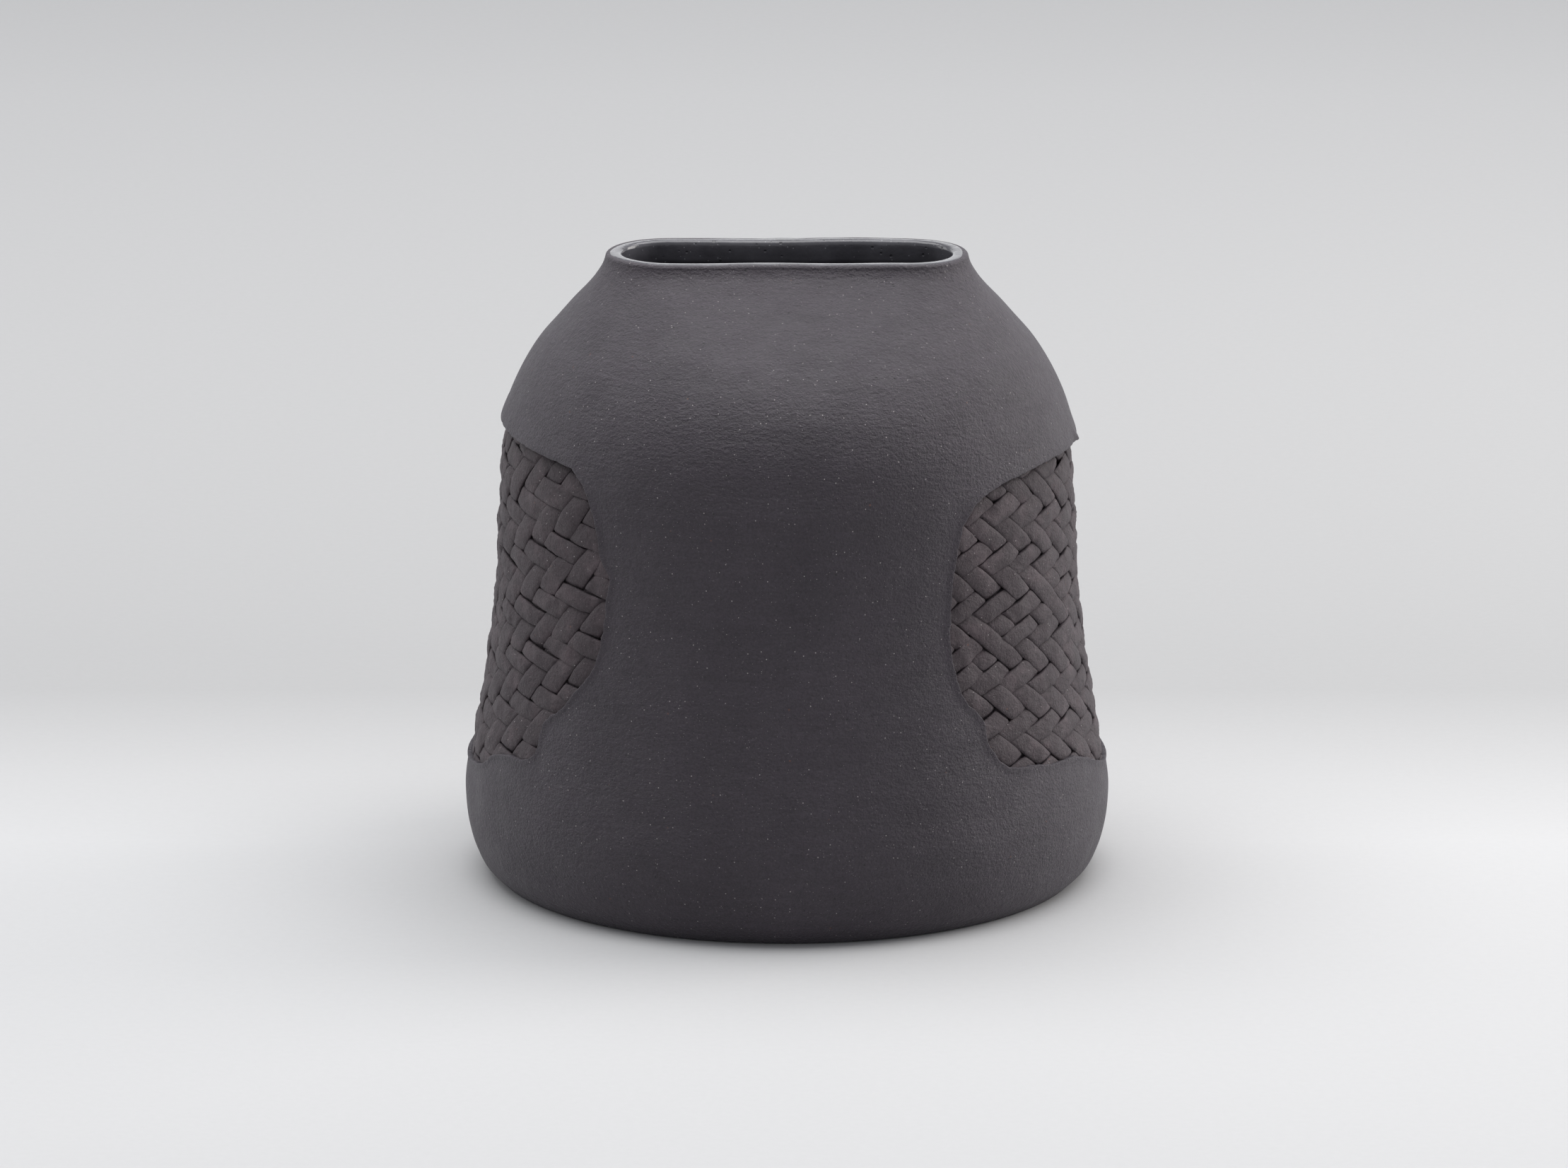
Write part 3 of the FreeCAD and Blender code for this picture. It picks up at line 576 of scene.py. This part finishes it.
g_a, g_b, g_z = (np.array(v)[:, None] for v in zip(*sections))
gx, gy = oval(g_a, np.minimum(g_b, g_a), turns[None, ::2])
# the glaze's border on the lip wanders, and the coat inside has a slight wave
spill = 0.35 * waves(gx, gy, 67, 13.0) * np.clip((g_b - 12.4) / 1.2, 0, 1) * (g_z > 148.5)
gx, gy = gx * (1 + spill / np.hypot(gx, gy)), gy * (1 + 2.0 * spill / np.hypot(gx, gy))
wobble = 0.12 * waves(gx, g_z + 0 * gx + gy, 61, 12.0) * np.clip((146 - g_z) / 10, 0, 1)
gxyz = np.stack([gx * (1 + wobble / 50), gy * (1 + wobble / 50), g_z - rim_dip(gx, gy, g_z)], -1)
quads = wrapped_quads(*gxyz.shape[:2])[1].reshape(-1, 4)
glaze = mesh_piece("glaze_coat", gxyz.reshape(-1, 3), quads)
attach(glaze, "root")
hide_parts("interior_glaze")

# ------------------------------------------------------------------ materials


class Nodes:
    """Short-hand for building one material's nodes."""

    def __init__(self, name):
        self.material = bpy.data.materials.new(name)
        self.material.use_nodes = True
        self.tree = self.material.node_tree
        self.shader = self.tree.nodes["Principled BSDF"]
        place = self.add("ShaderNodeTexCoord")
        self.place = place.outputs["Object"]

    def add(self, kind, **values):
        item = self.tree.nodes.new(kind)
        for word, value in values.items():
            setattr(item, word, value)
        return item

    def join(self, source, target):
        if hasattr(source, "links"):
            self.tree.links.new(source, target)
        else:
            target.default_value = source

    def scaled(self, x, y, z):
        """Object coordinates in millimetres times a factor per axis."""
        item = self.add("ShaderNodeVectorMath", operation="MULTIPLY")
        self.join(self.place, item.inputs[0])
        item.inputs[1].default_value = (x / MM, y / MM, z / MM)
        return item.outputs[0]

    def noise(self, size, detail=3.0, rough=0.55, stretch=(1, 1, 1)):
        """Noise with features of about this many millimetres, 0 to 1."""
        item = self.add("ShaderNodeTexNoise")
        self.join(self.scaled(*(k / size for k in stretch)), item.inputs["Vector"])
        item.inputs["Scale"].default_value = 1.0
        item.inputs["Detail"].default_value = detail
        item.inputs["Roughness"].default_value = rough
        return item.outputs["Fac"]

    def dots(self, size, radius, share, seed=0.0):
        """1 inside scattered dots, 0 elsewhere. share is how many cells have a dot."""
        item = self.add("ShaderNodeTexVoronoi")
        shift = self.add("ShaderNodeVectorMath", operation="ADD")
        self.join(self.scaled(1 / size, 1 / size, 1 / size), shift.inputs[0])
        shift.inputs[1].default_value = (seed, seed * 0.7, seed * 1.3)
        self.join(shift.outputs[0], item.inputs["Vector"])
        item.inputs["Scale"].default_value = 1.0
        near = self.ramp(item.outputs["Distance"], radius * 0.55 / size, radius / size, 1.0, 0.0)
        split = self.add("ShaderNodeSeparateColor")
        self.join(item.outputs["Color"], split.inputs[0])
        some = self.ramp(split.outputs[0], share, share + 0.01, 1.0, 0.0)
        return self.maths("MULTIPLY", near, some)

    def ramp(self, value, low, high, out_low=0.0, out_high=1.0):
        item = self.add("ShaderNodeMapRange", clamp=True)
        self.join(value, item.inputs["Value"])
        for word, number in (("From Min", low), ("From Max", high),
                             ("To Min", out_low), ("To Max", out_high)):
            item.inputs[word].default_value = number
        return item.outputs["Result"]

    def maths(self, operation, a, b):
        item = self.add("ShaderNodeMath", operation=operation)
        self.join(a, item.inputs[0])
        self.join(b, item.inputs[1])
        return item.outputs[0]

    def mix(self, share, a, b, kind="MIX"):
        item = self.add("ShaderNodeMix", data_type="RGBA", blend_type=kind)
        self.join(share, item.inputs[0])
        self.join(a, item.inputs[6])
        self.join(b, item.inputs[7])
        return item.outputs[2]

    def bump(self, height, depth, below=None):
        """Bump of this many millimetres, on top of an earlier one."""
        item = self.add("ShaderNodeBump")
        item.inputs["Strength"].default_value = 1.0
        item.inputs["Distance"].default_value = depth * MM
        self.join(height, item.inputs["Height"])
        if below is not None:
            self.join(below, item.inputs["Normal"])
        return item.outputs["Normal"]

    def finish(self, colour, rough, normal):
        self.join(colour, self.shader.inputs["Base Color"])
        self.join(rough, self.shader.inputs["Roughness"])
        if normal is not None:
            self.join(normal, self.shader.inputs["Normal"])
        return self.material


PALE_DUST = (0.115, 0.084, 0.093, 1)
PALE_SPECK = (0.36, 0.33, 0.33, 1)
SMALL_SPECK = (0.26, 0.24, 0.24, 1)
RUST = (0.16, 0.065, 0.04, 1)
# near black: painted shade inside the clay's pits
PIT_PAINTED_SHADE = (0.008, 0.007, 0.008, 1)


def clay(name, dark, pale, speck_share, stripes, grain_depth, roughness, sheen, dust=0.0):
    """Fired black clay: cloudy, sandy, with pale and rust specks, wiping marks, and pits that are
    dented in and painted near black as painted shade.
    """
    m = Nodes(name)
    cloud = m.ramp(m.noise(22.0, 4.0), 0.3, 0.7)
    grain = m.noise(0.55, 3.0, 0.7)
    wiped = m.noise(3.0, 4.0, 0.6, (0.16, 0.16, 2.2))
    colour = m.mix(cloud, dark + (1,), pale + (1,))
    shade = m.ramp(grain, 0.25, 0.75, 0.58, 1.46)
    colour = m.mix(1.0, colour, shade, "MULTIPLY")
    band = m.ramp(wiped, 0.3, 0.7, 1.0 - stripes, 1.0 + stripes)
    colour = m.mix(1.0, colour, band, "MULTIPLY")
    if dust:
        powder = m.ramp(m.noise(7.0, 5.0, 0.65), 0.50, 0.72, 0.0, dust)
        colour = m.mix(powder, colour, PALE_DUST)
    # pits: dents in the bump, coloured near black below as painted shade inside them
    pits = m.dots(size=3.4, radius=0.30, share=0.32, seed=15.0)
    for spots, strength, tint in (
            (m.dots(size=1.6, radius=0.17, share=speck_share), 0.9, PALE_SPECK),
            (m.dots(size=0.75, radius=0.10, share=speck_share, seed=4.0), 0.8, SMALL_SPECK),
            (m.dots(size=4.6, radius=0.30, share=0.30, seed=9.0), 0.5, RUST),
            (pits, 0.8, PIT_PAINTED_SHADE)):
        colour = m.mix(m.maths("MULTIPLY", spots, strength), colour, tint)
    normal = m.bump(wiped, stripes * 1.6)
    normal = m.bump(m.noise(5.0, 3.0), 0.12, normal)
    normal = m.bump(m.noise(1.1, 2.0, 0.6, (0.7, 0.7, 1.3)), grain_depth * 1.1, normal)
    normal = m.bump(grain, grain_depth, normal)
    normal = m.bump(m.maths("MULTIPLY", pits, -1.0), 0.12, normal)
    rough = m.ramp(m.noise(6.0, 3.0), 0.3, 0.7, roughness - 0.05, roughness + 0.07)
    m.shader.inputs["Specular IOR Level"].default_value = 0.5
    m.shader.inputs["Sheen Weight"].default_value = sheen
    m.shader.inputs["Sheen Roughness"].default_value = 0.45
    m.shader.inputs["Sheen Tint"].default_value = (0.95, 0.94, 1.0, 1.0)
    return m.finish(colour, rough, normal)


skin_clay = clay("skin_clay", dark=(0.0275, 0.0208, 0.0285), pale=(0.037, 0.0287, 0.0380),
                 speck_share=0.50, stripes=0.10, grain_depth=0.34, roughness=0.58, sheen=0.10)
strip_clay = clay("strip_clay", dark=(0.0310, 0.0212, 0.0258), pale=(0.0450, 0.0320, 0.0370),
                  speck_share=0.30, stripes=0.04, grain_depth=0.26, roughness=0.66, sheen=0.05,
                  dust=0.55)
wall_clay = clay("wall_clay", dark=(0.026, 0.023, 0.026), pale=(0.036, 0.032, 0.035),
                 speck_share=0.35, stripes=0.06, grain_depth=0.060, roughness=0.68, sheen=0.03)

# the glaze: dark and glossy, hazy, with pale flecks and small dark craters
g = Nodes("dark_glaze")
haze = g.ramp(g.noise(9.0, 4.0), 0.3, 0.7)
GLAZE_DARK, GLAZE_PALE = (0.060, 0.058, 0.066, 1), (0.105, 0.102, 0.115, 1)
FLECK, CRATER = (0.30, 0.30, 0.32, 1), (0.03, 0.03, 0.035, 1)
tone = g.mix(haze, GLAZE_DARK, GLAZE_PALE)
fleck = g.dots(size=1.1, radius=0.20, share=0.45, seed=2.0)
tone = g.mix(g.maths("MULTIPLY", fleck, 0.7), tone, FLECK)
crater = g.dots(size=2.0, radius=0.42, share=0.45, seed=6.0)
tone = g.mix(g.maths("MULTIPLY", crater, 0.6), tone, CRATER)
glaze_normal = g.bump(g.noise(3.0, 3.0), 0.16)
glaze_normal = g.bump(g.maths("MULTIPLY", crater, -1.0), 0.14, glaze_normal)
gloss = g.ramp(g.noise(4.0, 2.0), 0.3, 0.7, 0.07, 0.17)
g.shader.inputs["Coat Weight"].default_value = 0.25
g.shader.inputs["Coat Roughness"].default_value = 0.06
dark_glaze = g.finish(tone, gloss, glaze_normal)


def wear(piece, material):
    """Give a piece one material."""
    piece.data.materials.clear()
    piece.data.materials.append(material)


wear(skin, skin_clay)
wear(glaze, dark_glaze)
for piece in strips:
    wear(piece, strip_clay)
# the unseen walls keep their CAD shape and take the clay through their own slots
for name in ("body_wall", "shoulder_wall", "floor_slab"):
    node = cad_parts[name]
    if not node.material_slots:
        node.data.materials.append(wall_clay)
    for place in node.material_slots:
        place.link = "OBJECT"
        place.material = wall_clay

# ---------------------------------------------------------------- the setting
ground = Nodes("pale_floor")
split = ground.add("ShaderNodeSeparateXYZ")
ground.join(ground.place, split.inputs[0])
# the floor is palest in front, darkest just behind the pot and paler again further off, where
# painted light makes up for the lamps' falloff with distance
FRONT_TONE = (0.545, 0.545, 0.548, 1)
MIDDLE_TONE = (0.385, 0.385, 0.387, 1)
FAR_PAINTED_LIGHT_TONE = (0.485, 0.485, 0.487, 1)
behind = ground.ramp(split.outputs[1], 0.02, 0.16)
# far: share of the painted light that grows with distance behind the pot
far = ground.ramp(split.outputs[1], 0.20, 0.85)
tint = ground.mix(behind, FRONT_TONE, ground.mix(far, MIDDLE_TONE, FAR_PAINTED_LIGHT_TONE))
paper = ground.ramp(ground.noise(2.0, 3.0), 0.3, 0.7, 0.99, 1.01)
tint = ground.mix(1.0, tint, paper, "MULTIPLY")
pale_floor = ground.finish(tint, 0.9, ground.bump(ground.noise(1.2, 3.0), 0.02))
FLOOR_HALF = 4000
corners = [(x * FLOOR_HALF, y * FLOOR_HALF, 0) for x, y in ((-1, -1), (1, -1), (1, 1), (-1, 1))]
floor = mesh_piece("floor", corners, [(0, 1, 2, 3)], smooth=False)
floor.location.z = -0.0002     # just clear of the foot
wear(floor, pale_floor)


def soft_light(name, place, width, height, watts, colour=(1, 1, 1)):
    """Rectangular lamp that faces the pot's middle; metres and watts."""
    data = bpy.data.lights.new(name, "AREA")
    data.shape = "RECTANGLE"
    data.size = width
    data.size_y = height
    data.energy = watts
    data.color = colour
    lamp = bpy.data.objects.new(name, data)
    bpy.context.scene.collection.objects.link(lamp)
    lamp.location = place
    lamp.rotation_euler = (MIDDLE - Vector(place)).to_track_quat("-Z", "Y").to_euler()


MIDDLE = Vector((0.0, 0.0, 0.075))
WARM = (1.0, 0.96, 0.93)
soft_light("overhead", (0.0, 0.15, 1.15), width=1.7, height=1.2, watts=18.5)
soft_light("left_side", (-0.95, 0.35, 0.40), width=0.6, height=0.8, watts=2.1)
soft_light("right_side", (0.95, 0.30, 0.40), width=0.6, height=0.8, watts=6.0, colour=WARM)
soft_light("back_panel", (0.0, 1.70, 0.52), width=2.2, height=0.7, watts=3.2)

world = bpy.data.worlds.new("studio")
world.use_nodes = True
sky = world.node_tree.nodes["Background"]
sky.inputs["Color"].default_value = (0.93, 0.95, 1.0, 1)
sky.inputs["Strength"].default_value = 0.45
bpy.context.scene.world = world
bpy.context.scene.view_settings.view_transform = "Standard"

# ----------------------------------------------------------------- the camera
ELEVATION = math.radians(14.5)
DISTANCE = 3.08
AIM = Vector((-0.0007, 0.0, 0.0682))
camera_data = bpy.data.cameras.new("camera")
camera_data.lens = 300.0
camera_data.sensor_width = 36.0
camera = bpy.data.objects.new("camera", camera_data)
bpy.context.scene.collection.objects.link(camera)
camera.location = AIM + DISTANCE * Vector((0, -math.cos(ELEVATION), math.sin(ELEVATION)))
camera.rotation_euler = (AIM - camera.location).to_track_quat("-Z", "Y").to_euler()
bpy.context.scene.camera = camera
